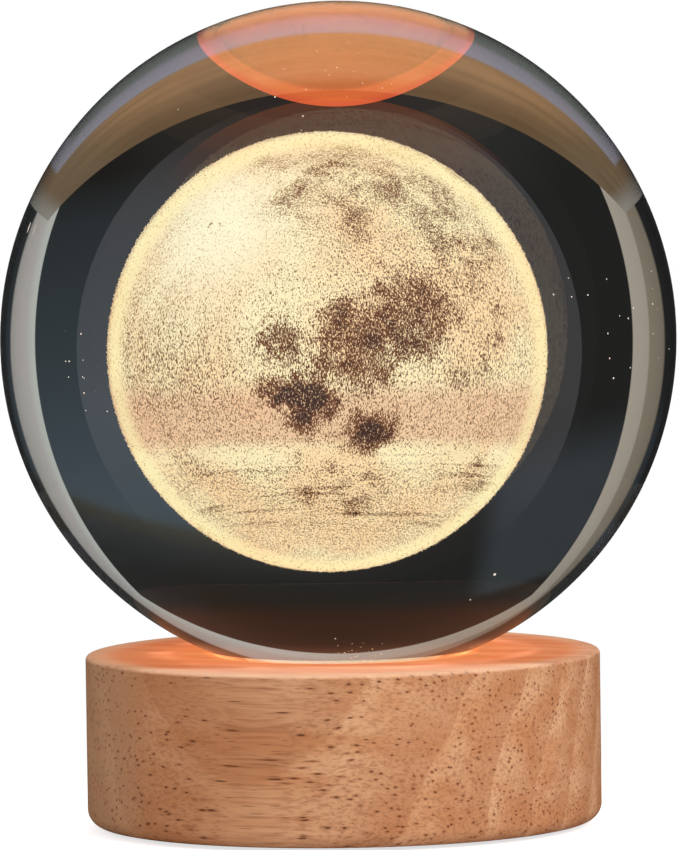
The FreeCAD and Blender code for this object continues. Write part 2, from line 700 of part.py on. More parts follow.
def bent_path(points):
    """Straight runs joined by tangent arcs as large as the runs allow."""
    edges = []
    start = points[0]
    for before, corner, after in zip(points, points[1:], points[2:]):
        back, ahead = before - corner, after - corner
        half_turn = (math.pi - back.getAngle(ahead)) / 2
        reach = 0.45 * min(back.Length, ahead.Length)
        radius = reach / math.tan(half_turn)
        into = corner + back.normalize() * reach
        out = corner + ahead.normalize() * reach
        middle = (back + ahead).normalize()
        centre = corner + middle * (radius / math.cos(half_turn))
        edges.append(Part.LineSegment(start, into).toShape())
        edges.append(Part.Arc(into, centre - middle * radius, out).toShape())
        print(f"lead bend radius {radius:.2f} mm")
        start = out
    edges.append(Part.LineSegment(start, points[-1]).toShape())
    return Part.Wire(edges)


def add_lead(name, across):
    """A round lead in the plane x = across."""
    rear, front = value("board_screw_y - wire_clearance"), value("wire_front")
    top, end = value("power_board_bottom"), value("led_board_bottom")
    low = top - value("wire_drop")
    points = [FreeCAD.Vector(0, rear, top), FreeCAD.Vector(0, rear, low),
              FreeCAD.Vector(0, front, low - value("wire_clearance")), FreeCAD.Vector(0, front, end)]
    path = bent_path(points)
    section = Part.Wire(Part.makeCircle(value("wire_radius"), points[0], FreeCAD.Vector(0, 0, 1)))
    shape = path.makePipeShell([section], True, False)
    expected = math.pi * value("wire_radius") ** 2 * path.Length
    allowed = 0.02
    if abs(shape.Volume / expected - 1) > allowed:
        raise ValueError(f"{name}: volume {shape.Volume} is not {expected}")
    lead = document.addObject("Part::Feature", name)
    lead.Label = name
    lead.Shape = shape
    lead.Placement.Base = FreeCAD.Vector(across, 0, 0)


add_lead("wire_red", value("-wire_offset - wire_spacing / 2"))
add_lead("wire_black", value("-wire_offset + wire_spacing / 2"))

# ---------------------------------------------------------------- check and write

document.recompute()
for item in document.Objects:
    if "Invalid" in item.State or "Error" in item.State:
        raise ValueError(f"{item.Name} failed: {item.State}")

HELPERS = {"polished_ball", "engraved_zone"}
os.makedirs("parts", exist_ok=True)
for item in document.Objects:
    is_piece = item.TypeId in ("PartDesign::Body", "Part::Box", "Part::Cut", "Part::Sphere", "Part::Feature")
    if not is_piece or item.Name in HELPERS:
        continue
    if item.Shape.isNull() or not item.Shape.isValid():
        raise ValueError(f"{item.Label} has no valid shape")
    item.Shape.exportStep(f"parts/{item.Label}.step")
    print(f"{item.Label}: {len(item.Shape.Solids)} solid(s), {item.Shape.Volume:.1f} mm3")
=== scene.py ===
import math
import random

import bmesh
import bpy
from mathutils import Matrix, Vector


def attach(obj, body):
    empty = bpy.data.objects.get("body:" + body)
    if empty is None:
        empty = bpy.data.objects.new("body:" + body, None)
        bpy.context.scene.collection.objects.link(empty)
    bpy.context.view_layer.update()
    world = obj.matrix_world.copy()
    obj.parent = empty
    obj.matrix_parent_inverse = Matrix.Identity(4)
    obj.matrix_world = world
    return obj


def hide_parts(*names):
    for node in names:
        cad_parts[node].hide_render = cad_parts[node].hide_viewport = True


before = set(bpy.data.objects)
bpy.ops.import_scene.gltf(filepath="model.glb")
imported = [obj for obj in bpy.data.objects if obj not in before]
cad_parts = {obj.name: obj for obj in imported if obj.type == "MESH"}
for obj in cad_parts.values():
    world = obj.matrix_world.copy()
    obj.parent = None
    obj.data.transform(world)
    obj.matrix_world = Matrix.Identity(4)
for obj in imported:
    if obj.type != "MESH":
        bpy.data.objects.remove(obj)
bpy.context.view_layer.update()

# ------------------------------------------------------------------ table, tent and lamps
# The lamp stands on a pale table in a dark tent with light panels, which is how clear glass is
# photographed: the panels draw the bright line round the ball and the dark cloth fills its middle.


class Link:
    """One output of a material's nodes. Sums and products written with it add Math nodes."""

    def __init__(self, finish, socket):
        self.finish = finish
        self.socket = socket

    def __add__(self, other):
        return self.finish.math("ADD", self, other)

    def __radd__(self, other):
        return self.finish.math("ADD", other, self)

    def __sub__(self, other):
        return self.finish.math("SUBTRACT", self, other)

    def __rsub__(self, other):
        return self.finish.math("SUBTRACT", other, self)

    def __mul__(self, other):
        return self.finish.math("MULTIPLY", self, other)

    def __rmul__(self, other):
        return self.finish.math("MULTIPLY", other, self)

    def __truediv__(self, other):
        return self.finish.math("DIVIDE", self, other)

    def __rtruediv__(self, other):
        return self.finish.math("DIVIDE", other, self)

    def ramp(self, low, high):
        """0 at low and 1 at high, with soft ends; low may be the larger of the two."""
        return self.finish.node("ShaderNodeMapRange", {"interpolation_type": "SMOOTHSTEP"},
                                {"Value": self, "From Min": low, "From Max": high})


class Finish:
    """A material and its nodes, with lengths on the object in millimetres."""

    def __init__(self, name):
        self.material = bpy.data.materials.new(name)
        self.material.use_nodes = True
        self.tree = self.material.node_tree
        self.tree.nodes.clear()
        self.output = self.tree.nodes.new("ShaderNodeOutputMaterial")

    def node(self, kind, settings=None, inputs=None, out=0):
        """A node of this kind: its settings, then values or links for its sockets; gives one output."""
        made = self.tree.nodes.new(kind)
        for key, setting in (settings or {}).items():
            if key == "stops":
                stops = made.color_ramp.elements
                while len(stops) < len(setting):
                    stops.new(0.5)
                for stop, (position, colour) in zip(stops, setting):
                    stop.position = position
                    stop.color = (*colour, 1)
            else:
                setattr(made, key, setting)
        for key, given in (inputs or {}).items():
            if isinstance(given, Link):
                self.tree.links.new(given.socket, made.inputs[key])
            elif isinstance(given, tuple) and len(given) == 3 and made.inputs[key].type == "RGBA":
                made.inputs[key].default_value = (*given, 1)
            else:
                made.inputs[key].default_value = given
        return Link(self, made.outputs[out])

    def math(self, operation, *values):
        return self.node("ShaderNodeMath", {"operation": operation}, dict(enumerate(values)))

    def vector(self, operation, *values, out=0):
        return self.node("ShaderNodeVectorMath", {"operation": operation}, dict(enumerate(values)), out)

    def mix(self, factor, first, second, way="MIX"):
        """Two colours mixed."""
        return self.node("ShaderNodeMix", {"data_type": "RGBA", "blend_type": way, "clamp_factor": True},
                         {0: factor, 6: first, 7: second}, 2)

    def place(self, centre=(0, 0, 0)):
        """The point on the piece in millimetres from a centre that is given in millimetres."""
        metres = self.node("ShaderNodeTexCoord", out="Object")
        return self.vector("SUBTRACT", self.vector("MULTIPLY", metres, (1000, 1000, 1000)), tuple(centre))

    def parts(self, vector):
        """The three numbers of a vector."""
        return [self.node("ShaderNodeSeparateXYZ", None, {0: vector}, axis) for axis in range(3)]

    def stretched(self, place, *factors):
        return self.vector("MULTIPLY", place, tuple(factors))

    def noise(self, place, scale, detail=2.0, roughness=0.5, out="Fac"):
        return self.node("ShaderNodeTexNoise", None,
                         {"Vector": place, "Scale": scale, "Detail": detail, "Roughness": roughness}, out)

    def bump(self, height, distance, strength=1.0):
        """A surface normal from a height of 0 to 1 that stands for this distance in millimetres."""
        return self.node("ShaderNodeBump", None,
                         {"Height": height, "Distance": distance / 1000, "Strength": strength})

    def shader(self, kind="ShaderNodeBsdfPrincipled", inputs=None):
        return self.node(kind, None, inputs)

    def light(self, colour):
        """A shader that only gives off light."""
        return self.shader(inputs={
            "Base Color": (0.0, 0.0, 0.0), "Roughness": 1.0, "Specular IOR Level": 0.0,
            "Emission Color": colour, "Emission Strength": 1.0})

    def surface(self, shader):
        """Puts the shader on the material and gives the material."""
        self.tree.links.new(shader.socket, self.output.inputs["Surface"])
        return self.material


def tone(red, green, blue):
    """A display colour from 0 to 255 as a linear one."""
    shares = [value / 255 for value in (red, green, blue)]
    return tuple(share / 12.92 if share < 0.04045 else ((share + 0.055) / 1.055) ** 2.4 for share in shares)


def new_object(name, bm, material):
    """A finished mesh as an object at the origin; every edge sharper than 35 degrees stays sharp."""
    mesh = bpy.data.meshes.new(name)
    bm.to_mesh(mesh)
    bm.free()
    mesh.shade_smooth()
    mesh.set_sharp_from_angle(angle=math.radians(35))
    mesh.materials.append(material)
    made = bpy.data.objects.new(name, mesh)
    bpy.context.collection.objects.link(made)
    return made


# Millimetres above the table: the middle of the ball on its seat, and the top of the wood.
BALL_CENTRE = Vector((0, 0, 57.716))
WOOD_TOP = 20.6

# The table keeps the lamp's soft shadow out to the first reach, and from there to the second it turns
# into the white backdrop.
TABLE_RADIUS = 1200
SHADOW_REACH = 36
WHITE_REACH = 90

table = Finish("pale_table")
from_lamp = table.vector("LENGTH", table.stretched(table.place(), 1, 1, 0), out="Value")
seen = table.node("ShaderNodeLightPath", out="Is Camera Ray")
matt = table.shader(inputs={
    "Base Color": tone(236, 236, 236), "Roughness": 0.9, "Specular IOR Level": 0.1,
    "Emission Color": table.mix(seen, (0.0, 0.0, 0.0), (0.7, 0.7, 0.7)), "Emission Strength": 1.0})
white = table.light((1.0, 1.0, 1.0))
table.surface(table.node("ShaderNodeMixShader", None, {
    0: from_lamp.ramp(SHADOW_REACH, WHITE_REACH) * seen, 1: matt, 2: white}))
bm = bmesh.new()
bmesh.ops.create_circle(bm, cap_ends=True, segments=96, radius=TABLE_RADIUS / 1000)
floor = new_object("table_top", bm, table.material)
floor.visible_transmission = False
floor.visible_glossy = False


def only_in_glass(piece, mirrored, refracted):
    """A piece that only the ball shows, by reflection, by refraction or both, and that lights nothing."""
    piece.visible_camera = False
    piece.visible_diffuse = False
    piece.visible_shadow = False
    piece.visible_glossy = mirrored
    piece.visible_transmission = refracted
    piece.material_slots[0].material.cycles.emission_sampling = "NONE"


# The square table top shows only in the glass, upside down across the top of the ball: wood with a
# painted pale highlight line and a blue-grey zone near the lamp.
TABLE_HALF = 119
ABOVE_FLOOR = 0.2


def table_tone(made):
    """The colour of the table top at a place on it."""
    spot = made.place()
    across, along = made.parts(spot)[:2]
    aside = made.math("ABSOLUTE", across)
    reach = made.math("MAXIMUM", aside * 0.9, made.math("ABSOLUTE", along))
    grain = made.noise(made.stretched(spot, 0.02, 0.2, 1), 1.0, 3)
    brown = made.mix(reach.ramp(74, TABLE_HALF), tone(178, 138, 98), tone(104, 80, 54))
    brown = made.mix(aside.ramp(38, 76) * 0.75, brown, tone(118, 102, 80))
    brown = made.mix(grain.ramp(0.3, 0.7) * 0.3, brown, tone(84, 64, 42))
    near = made.mix(reach.ramp(80, 75), brown, tone(126, 131, 125))
    # Painted highlight: a pale line round the lamp on the table top.
    highlight_line = reach.ramp(59, 67) * reach.ramp(80, 76)
    near = made.mix(highlight_line, near, tone(154, 150, 160))
    return made.mix(aside.ramp(94, 117), near, tone(150, 146, 137))


brown_table = Finish("brown_table")
brown_table.surface(brown_table.light(table_tone(brown_table)))
bm = bmesh.new()
bmesh.ops.create_grid(bm, x_segments=1, y_segments=1, size=TABLE_HALF / 1000,
                      matrix=Matrix.Translation((0, 0, ABOVE_FLOOR / 1000)))
table_mat = new_object("brown_table_top", bm, brown_table.material)
only_in_glass(table_mat, mirrored=False, refracted=True)

# The tent is dark cloth with a hoop of light panels before and behind the lamp. Seen from the ball,
# the opening inside the panels is nearly a rectangle, whose edges lie this many metres aside or up for
# each metre ahead.
TENT_RADIUS = 4
OPENING_RIGHT = 1.31
OPENING_LEFT = 1.14
OPENING_TOP = 1.45
SIDE_LEAN = 0.05
TOP_LEAN = 0.04
HOOP_EDGE = 0.375

tent = Finish("tent_cloth")
across, along, rise = tent.parts(tent.vector("NORMALIZE", tent.place(BALL_CENTRE)))
facing = tent.math("ABSOLUTE", along)
left = across.ramp(-0.35, 0.35)
aside = across / facing
height = rise / facing
outside = tent.math("MAXIMUM", aside / (OPENING_RIGHT - height * SIDE_LEAN),
                    aside / (height * SIDE_LEAN - OPENING_LEFT))
outside = tent.math("MAXIMUM", outside, height / (OPENING_TOP + aside * TOP_LEAN))
inner_strip = outside.ramp(1.36 - left * 0.14, 1.30 - left * 0.26)
hoop_edge = HOOP_EDGE - left * 0.025
hoop = outside.ramp(0.99, 1.01) * facing.ramp(hoop_edge - 0.02, hoop_edge + 0.02)
dusk = tent.node("ShaderNodeValToRGB", {"stops": [
    (0.0, tone(20, 18, 16)), (0.27, tone(28, 25, 21)), (0.33, tone(42, 46, 48)), (0.5, tone(52, 60, 64)),
    (0.66, tone(66, 76, 83)), (0.68, tone(67, 76, 80)), (0.695, tone(62, 60, 52)), (0.72, tone(48, 49, 48)),
    (0.76, tone(36, 36, 34)), (0.8, tone(33, 28, 24)), (1.0, tone(26, 21, 18))]},
    {0: rise * 0.5 + 0.5}, "Color")
dim = tent.mix(rise.ramp(0.12, 0.3) * across.ramp(-0.29, -0.38), tone(33, 33, 32), tone(53, 58, 61))
dim = tent.mix(rise.ramp(0.59, 0.64), dim, tone(36, 30, 26))
cloth = tent.mix(left, dim, dusk)
panel_tone = tent.mix(left, tone(140, 130, 114), tone(184, 180, 174))
panel_tone = tent.mix(inner_strip, panel_tone, tent.mix(left, tone(170, 162, 148), tone(190, 193, 186)))
cloth = tent.mix(hoop * rise.ramp(-0.62, -0.42), cloth, panel_tone)
cloth = tent.mix(facing.ramp(0.3, 0.2), cloth, tone(16, 15, 14))

# All of this is seen through the ball. Its outer face mirrors only a grey sheen from above.
sheen = tent.mix(rise.ramp(0.5, 0.85), tone(26, 27, 28), tone(110, 110, 110))
through = tent.node("ShaderNodeLightPath", out="Is Transmission Ray")
tent.surface(tent.light(tent.mix(through, sheen, cloth)))
bm = bmesh.new()
bmesh.ops.create_uvsphere(bm, u_segments=64, v_segments=32, radius=TENT_RADIUS,
                          matrix=Matrix.Translation(BALL_CENTRE / 1000))
tent_wall = new_object("tent", bm, tent.material)
only_in_glass(tent_wall, mirrored=True, refracted=True)

# Behind the lamp its own warm light lies on the table; only the glass shows it, in its top. The light
# is palest towards the lamp and has a red rim, and past the inner oval it gets a little more red.
PATCH_MIDDLE = Vector((-0.4, 55, 0.6))
PATCH_HALF = Vector((24.8, 75, 1000))
INNER_MIDDLE = (0, 58, 0.6)
INNER_HALF = (20.4, 59.6, 1000)
LIGHT_START = 40
LIGHT_LENGTH = 80

patch = Finish("warm_light")
reach = patch.vector("DIVIDE", patch.place(PATCH_MIDDLE), tuple(PATCH_HALF))
reach = patch.vector("LENGTH", reach, out="Value")
along = patch.parts(patch.place())[1]
behind = patch.mix(along.ramp(TABLE_HALF - 0.5, TABLE_HALF + 0.5), table_tone(patch), tone(24, 17, 12))
warm = patch.node("ShaderNodeValToRGB", {"stops": [
    (0.0, (1.0, 0.8, 0.5)), (0.09, (0.95, 0.5, 0.26)), (0.13, (0.9, 0.42, 0.19)), (0.18, (0.7, 0.25, 0.06)),
    (0.24, (0.42, 0.1, 0.012)), (0.33, (0.22, 0.035, 0.0)), (0.46, (0.13, 0.04, 0.0)),
    (0.59, (0.2, 0.05, 0.004)), (0.7, (0.29, 0.075, 0.01)), (0.82, (0.42, 0.13, 0.045)),
    (0.92, (0.4, 0.08, 0.01)), (0.98, (0.42, 0.07, 0.01))]},
    {0: (along - LIGHT_START) / LIGHT_LENGTH}, "Color")
inner = patch.vector("DIVIDE", patch.place(INNER_MIDDLE), INNER_HALF)
inner = patch.vector("LENGTH", inner, out="Value")
warm = patch.mix(inner.ramp(0.985, 1.045), warm, (0.3, 0.07, 0.02), "ADD")
warm = patch.mix(reach.ramp(0.91, 0.985), warm, (0.68, 0.1, 0.03))
patch.surface(patch.light(patch.mix(1.0, behind, warm, "ADD")))
bm = bmesh.new()
bmesh.ops.create_circle(bm, cap_ends=True, segments=96, radius=1)
bmesh.ops.scale(bm, vec=PATCH_HALF / 1000, verts=bm.verts)
bmesh.ops.translate(bm, vec=PATCH_MIDDLE / 1000, verts=bm.verts)
warm_patch = new_object("warm_patch", bm, patch.material)
only_in_glass(warm_patch, mirrored=False, refracted=True)


def flat_ring(name, inner, outer, height, material):
    """A flat ring round the lamp's axis that faces upwards, with its sizes in millimetres."""
    bm = bmesh.new()
    for radius in (inner, outer):
        bmesh.ops.create_circle(bm, segments=128, radius=radius / 1000,
                                matrix=Matrix.Translation((0, 0, height / 1000)))
    bmesh.ops.bridge_loops(bm, edges=bm.edges[:])
    bmesh.ops.recalc_face_normals(bm, faces=bm.faces)
    if sum(face.normal.z for face in bm.faces) < 0:
        bmesh.ops.reverse_faces(bm, faces=bm.faces)
    return new_object(name, bm, material)


# The mirror image of the wood in the lower front of the ball: dark, and red towards the seat.
mirror = Finish("wood_mirror_image")
reach = mirror.vector("LENGTH", mirror.stretched(mirror.place(), 1, 1, 0), out="Value")
dim = mirror.mix(reach.ramp(28, 23), (0.08, 0.05, 0.035), (0.32, 0.085, 0.02))
dim = mirror.mix(reach.ramp(19, 16.5), dim, (0.7, 0.2, 0.07))
under = mirror.node("ShaderNodeNewGeometry", out="Backfacing")
mirror.surface(mirror.node("ShaderNodeMixShader", None, {
    0: under, 1: mirror.light(dim), 2: mirror.shader("ShaderNodeBsdfTransparent")}))
mirror_ring = flat_ring("wood_mirror_ring", inner=15.45, outer=30.4, height=WOOD_TOP + 0.05,
                        material=mirror.material)
only_in_glass(mirror_ring, mirrored=True, refracted=False)

# Inside the ball the same wood shows once more at the top, where it is hardly brighter than the table.
shaded = Finish("shaded_wood")
shaded.surface(shaded.light(tone(96, 62, 44)))
shaded_ring = flat_ring("shaded_wood_ring", inner=15.6, outer=30.3, height=WOOD_TOP + 0.1,
                        material=shaded.material)
only_in_glass(shaded_ring, mirrored=False, refracted=True)

# White backdrop behind everything, and a softer light from all round.
LIGHT_ALL_ROUND = 0.42
WHITE = 1.0

world = bpy.data.worlds.new("studio")
world.use_nodes = True
bpy.context.scene.world = world
nodes = world.node_tree.nodes
links = world.node_tree.links
backdrop = nodes["Background"]
path = nodes.new("ShaderNodeLightPath")
shown = path.outputs["Is Camera Ray"]
for kind in ("Is Glossy Ray", "Is Transmission Ray"):
    either = nodes.new("ShaderNodeMath")
    either.operation = "MAXIMUM"
    links.new(shown, either.inputs[0])
    links.new(path.outputs[kind], either.inputs[1])
    shown = either.outputs[0]
level = nodes.new("ShaderNodeMapRange")
level.inputs["To Min"].default_value = LIGHT_ALL_ROUND
level.inputs["To Max"].default_value = WHITE
links.new(shown, level.inputs["Value"])
backdrop.inputs["Color"].default_value = (1, 1, 1, 1)
links.new(level.outputs[0], backdrop.inputs["Strength"])

# Three round soft lamps: their names, directions, distances and sizes in metres, and watts.
AIM = Vector((0, 0, 0.03))

for name, direction, distance, size, power in (
        ("key", (0.75, -0.85, 0.75), 1.0, 0.7, 5.2),
        ("fill", (-1.0, -0.5, 0.5), 1.1, 0.7, 1.6),
        ("back", (0.1, 1.0, 0.9), 1.1, 0.7, 2.6)):
    lamp_data = bpy.data.lights.new(name, "AREA")
    lamp_data.shape = "DISK"
    lamp_data.size = size
    lamp_data.energy = power
    lamp = bpy.data.objects.new(name, lamp_data)
    towards = Vector(direction).normalized()
    lamp.location = towards * distance + AIM
    lamp.rotation_mode = "QUATERNION"
    lamp.rotation_quaternion = towards.to_track_quat("Z", "Y")
    lamp.visible_glossy = False
    lamp.visible_transmission = False
    lamp.visible_camera = False
    bpy.context.collection.objects.link(lamp)

# The camera stands 1.1 m in front, a little above the ball. It looks down by about 4 degrees and is
# tipped sideways by less than one. Its focal length in pixels goes with a picture 850 pixels high.
CAMERA_PLACE = (0, -1.1, 0.122)
PITCH = 0.0676
ROLL = -0.014
FOCAL_PIXELS = 9312.4
PICTURE_HEIGHT = 850
SENSOR = 36

camera_data = bpy.data.cameras.new("camera")
camera_data.sensor_width = SENSOR
camera_data.lens = FOCAL_PIXELS / PICTURE_HEIGHT * SENSOR
camera = bpy.data.objects.new("camera", camera_data)
ahead = Vector((0, math.cos(PITCH), -math.sin(PITCH)))
level_right = Vector((1, 0, 0))
level_up = Vector((0, math.sin(PITCH), math.cos(PITCH)))
right = level_right * math.cos(ROLL) + level_up * math.sin(ROLL)
upward = level_up * math.cos(ROLL) - level_right * math.sin(ROLL)
turned = Matrix((right, upward, -ahead)).transposed().to_4x4()
camera.matrix_world = Matrix.Translation(CAMERA_PLACE) @ turned
bpy.context.collection.objects.link(camera)
bpy.context.scene.camera = camera
bpy.context.scene.view_settings.view_transform = "Standard"
bpy.context.scene.cycles.use_denoising = True

# ------------------------------------------------------------------ crystal ball
# One ball of clear optical glass, ground and polished all over. It lies loose on the seat of the base
# and can be lifted off.
BALL_RADIUS = 40.0

glass = Finish("crystal")
smudge = glass.noise(glass.place(), 0.12, 3).ramp(0.58, 0.8)
glass.surface(glass.shader(inputs={
    "Base Color": (1.0, 1.0, 1.0), "Roughness": smudge * 0.006, "IOR": 1.517, "Transmission Weight": 1.0}))
bm = bmesh.new()
bmesh.ops.create_uvsphere(bm, u_segments=256, v_segments=128, radius=BALL_RADIUS / 1000,
                          matrix=Matrix.Translation(BALL_CENTRE / 1000))
ball = new_object("clear_ball", bm, glass.material)
ball.visible_shadow = False
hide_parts("crystal_ball")
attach(ball, "ball")

# Bubbles and dust just under the polished face, a few together near the ball's sides. They glow with
# painted glints, and the light from the seat turns the lowest ones gold. Each row is a group: its middle
# from the ball's, its spread, how many there are, and their size.
GOLD_BELOW = 25
DEEPEST = 3.5
SHALLOWEST = 0.7

random.seed(7)
speck = Finish("dust_speck_glints")
height = speck.parts(speck.place())[2]
tint = speck.noise(speck.place(), 0.3)
pale_glint = speck.mix(tint, tone(255, 250, 238), tone(255, 214, 190))
gold = speck.mix(tint.ramp(0.4, 0.6), tone(226, 196, 96), tone(236, 116, 52))
# The specks' glow is a painted glint: pale, and gold below GOLD_BELOW.
speck.surface(speck.shader(inputs={
    "Base Color": tone(235, 230, 220), "Roughness": 0.5,
    "Emission Color": speck.mix(height.ramp(GOLD_BELOW + 1, GOLD_BELOW - 1), pale_glint, gold),
    "Emission Strength": 0.9}))
bm = bmesh.new()
for middle, spread, count, size in (
        (Vector((-30.5, -24.5, -2.0)), 4.5, 10, 0.075),
        (Vector((30.5, -22.5, 3.0)), 5.0, 12, 0.08),
        (Vector((35.0, -12.0, 2.0)), 5.0, 7, 0.07),
        (Vector((-8.0, -22.0, 28.0)), 7.0, 5, 0.06),
        (Vector((16.0, -19.0, -28.5)), 3.0, 2, 0.12),
        (Vector((-20.0, 25.0, 10.0)), 16.0, 14, 0.08),
        (Vector((1.5, -15.0, -35.0)), 3.2, 34, 0.055),
        (Vector((3.0, -20.0, 33.0)), 6.0, 16, 0.04)):
    for number in range(count):
        way = Vector([random.gauss(0, 1) for axis in range(3)]) * spread * 0.6
        spot_place = middle + way
        spot_place *= random.uniform(BALL_RADIUS - DEEPEST, BALL_RADIUS - SHALLOWEST) / spot_place.length
        bmesh.ops.create_icosphere(bm, subdivisions=1, radius=size * random.uniform(0.7, 1.8) / 1000,
                                   matrix=Matrix.Translation((spot_place + BALL_CENTRE) / 1000))
specks = new_object("glass_specks", bm, speck.material)
specks.visible_shadow = False
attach(specks, "ball")

# ------------------------------------------------------------------ engraved moon
# A laser has set thousands of tiny cracks in the glass, dense for the bright highlands and sparse
# for the dark seas. The map is the real Moon's, with its north to the right and its west up.
MOON_CENTRE = BALL_CENTRE + Vector((-0.9, 0, -1.0))
MOON_RADIUS = 17.15
MOON_AXES = Matrix((
    (0.09652, -0.16324, 0.98185),
    (-0.7922, -0.60981, -0.02351),
    (0.60258, -0.77556, -0.18818)))


def moon_point(latitude, longitude):
    """The direction in the room of a place on the moon."""
    north = math.radians(latitude)
    east = math.radians(longitude)
    level = math.cos(north)
    return MOON_AXES @ Vector((level * math.cos(east), level * math.sin(east), math.sin(north)))


# Each sea is one or more rounds: latitude, longitude and radius in degrees.
DARK_SEAS = [(17, 59, 8), (-4, 51, 8.5), (-8, 53, 6), (1, 51, 5)]
GREY_SEAS = [
    (-15, 35, 6.5), (-4, 44, 5), (-15, 50, 5), (8, 31, 13), (3, 25, 8), (14, 36, 8), (28, 17, 12),
    (24, 22, 9), (18, 10, 6), (-23, -18, 4.5), (-18, -21, 4.5), (-12, -27, 4), (-8, -33, 3.5)]
SOFT_SEAS = [
    (35, -15, 17), (28, -22, 12), (40, -28, 10), (20, -38, 16), (8, -28, 13), (-3, -30, 13), (12, -52, 14),
    (30, -55, 12), (-8, -14, 10), (-20, -16, 12), (-12, -23, 8), (-24, -38, 9), (-6, -44, 12), (57, -5, 6),
    (58, 12, 6), (56, 26, 6), (46, 30, 7), (13, 4, 5), (2, -8, 8), (-1, 87, 7), (14, 86, 7), (22, 78, 4),
    (-39, 93, 9), (57, 81, 5), (-2, 70, 4), (7, 69, 4), (27, 148, 7), (-34, 163, 7), (-20, 129, 5),
    (-19, -95, 7), (-46, -160, 12)]

moon = Finish("engraving")
spot = moon.place(MOON_CENTRE)
way = moon.vector("NORMALIZE", spot)
rough_edge = moon.noise(way, 3.2, 4, 0.6, "Color")
fine_edge = moon.noise(way, 11, 3, 0.6, "Color")
warp = moon.stretched(moon.vector("SUBTRACT", rough_edge, (0.5, 0.5, 0.5)), 0.34, 0.34, 0.34)
fine_warp = moon.stretched(moon.vector("SUBTRACT", fine_edge, (0.5, 0.5, 0.5)), 0.14, 0.14, 0.14)
warped = moon.vector("ADD", way, moon.vector("ADD", warp, fine_warp))


def sea_depth(seas):
    """How far a place is from the middle of the nearest sea, where 1 is that sea's shore."""
    nearest = None
    for latitude, longitude, radius in seas:
        reach = 2 * math.sin(math.radians(radius) / 2)
        away = moon.vector("DISTANCE", warped, tuple(moon_point(latitude, longitude)), out="Value") / reach
        nearest = away if nearest is None else moon.math("MINIMUM", nearest, away)
    return nearest


dark_sea = sea_depth(DARK_SEAS)
grey_sea = sea_depth(GREY_SEAS)
soft_sea = sea_depth(SOFT_SEAS)
patchy = moon.noise(way, 6, 5, 0.65)
dark_cover = dark_sea.ramp(1.5, 0.5)
grey_cover = grey_sea.ramp(1.5, 0.5) * (0.45 + patchy.ramp(0.3, 0.62) * 0.4)
soft_cover = soft_sea.ramp(1.25, 0.1) * patchy.ramp(0.32, 0.6)
cover = moon.math("MAXIMUM", moon.math("MAXIMUM", dark_cover, grey_cover), soft_cover * 0.58)

# A young crater in the south has a thin dark ring, a bright glare round it and rays. The laser's
# layers show as bands in the lower part, under a frosted line. The moon's border, seen from the front,
# is a smooth painted highlight, and its left flank is a little darker.
tycho = moon_point(-43, -11)
to_tycho = moon.vector("DISTANCE", way, tuple(tycho), out="Value")
glare = to_tycho.ramp(0.8, 0.05)
rim = to_tycho.ramp(0.027, 0.033) * to_tycho.ramp(0.045, 0.038) * moon.noise(way, 22, 1).ramp(0.44, 0.54)
star = moon.noise(moon.vector("NORMALIZE", moon.vector("SUBTRACT", way, tuple(tycho))), 5.0, 2)
rays = star.ramp(0.5, 0.7) * to_tycho.ramp(1.5, 0.3)
layers = moon.noise(moon.stretched(spot, 0.09, 0.09, 2.0), 1.0, 2)
across, along, rise = moon.parts(way)
# Painted highlight: the band where the moon's surface turns sideways is made brighter and smoother.
side = moon.math("ABSOLUTE", along).ramp(0.22, 0.02)
flank = across.ramp(-0.4, -0.8) * rise.ramp(-0.45, -0.1)
low_band = rise.ramp(-0.42, -0.56) * rise.ramp(-0.9, -0.8)
frost = rise.ramp(-0.42, -0.5) * rise.ramp(-0.6, -0.53)
cover = cover + layers.ramp(0.5, 0.68) * low_band * 0.45 + (patchy - 0.5) * 0.5
cover = cover + rim * 1.2 - glare * 0.42 - rays * 0.2 - frost * 0.3 + flank * 0.22 - side * 0.55

# The cracks are short strokes: cream ones over a brown ground, fewer and fewer towards a sea's middle.
strokes = moon.node("ShaderNodeMapping", {"vector_type": "POINT"},
                    {"Vector": spot, "Rotation": (0.0, math.radians(-24), 0.0), "Scale": (9.0, 7.0, 3.3)})
grain = moon.noise(strokes, 1.0, 2, 0.7)
fine = moon.noise(moon.stretched(spot, 11, 11, 6.5), 1.0, 1)
need = 0.455 + cover * 0.135
struck = (grain * 0.7 + fine * 0.3).ramp(need - 0.016, need + 0.016)
tint = moon.noise(way, 1.9, 2)
blush = rise.ramp(-0.08, -0.25) * rise.ramp(-0.5, -0.4)
cream = moon.mix(tint.ramp(0.35, 0.65), tone(255, 240, 192), tone(255, 222, 172))
cream = moon.mix(glare * 0.85, cream, tone(255, 251, 216))
cream = moon.mix(blush * 0.75, cream, tone(236, 190, 152))
# The painted highlight round the border lightens both the cream strokes and the ground.
cream = moon.mix(side * 0.5, cream, tone(255, 246, 182))
cream = moon.mix(cover.ramp(0.35, 1.0) * 0.45, cream, tone(222, 168, 128))
ground = moon.mix(tint.ramp(0.35, 0.65), tone(116, 70, 36), tone(106, 62, 36))
ground = moon.mix(glare * 0.9, ground, tone(206, 168, 116))
ground = moon.mix(cover.ramp(0.2, 0.8), ground, tone(108, 64, 38))
ground = moon.mix(cover.ramp(0.7, 1.05), ground, tone(60, 38, 30))
ground = moon.mix(side * 0.75, ground, tone(222, 186, 118))
pit = moon.noise(moon.stretched(spot, 6, 6, 6), 1.0, 2, 0.7).ramp(0.42, 0.34) * (1 - glare) * (1 - side)
ground = moon.mix(pit * 0.8, ground, tone(58, 36, 26))


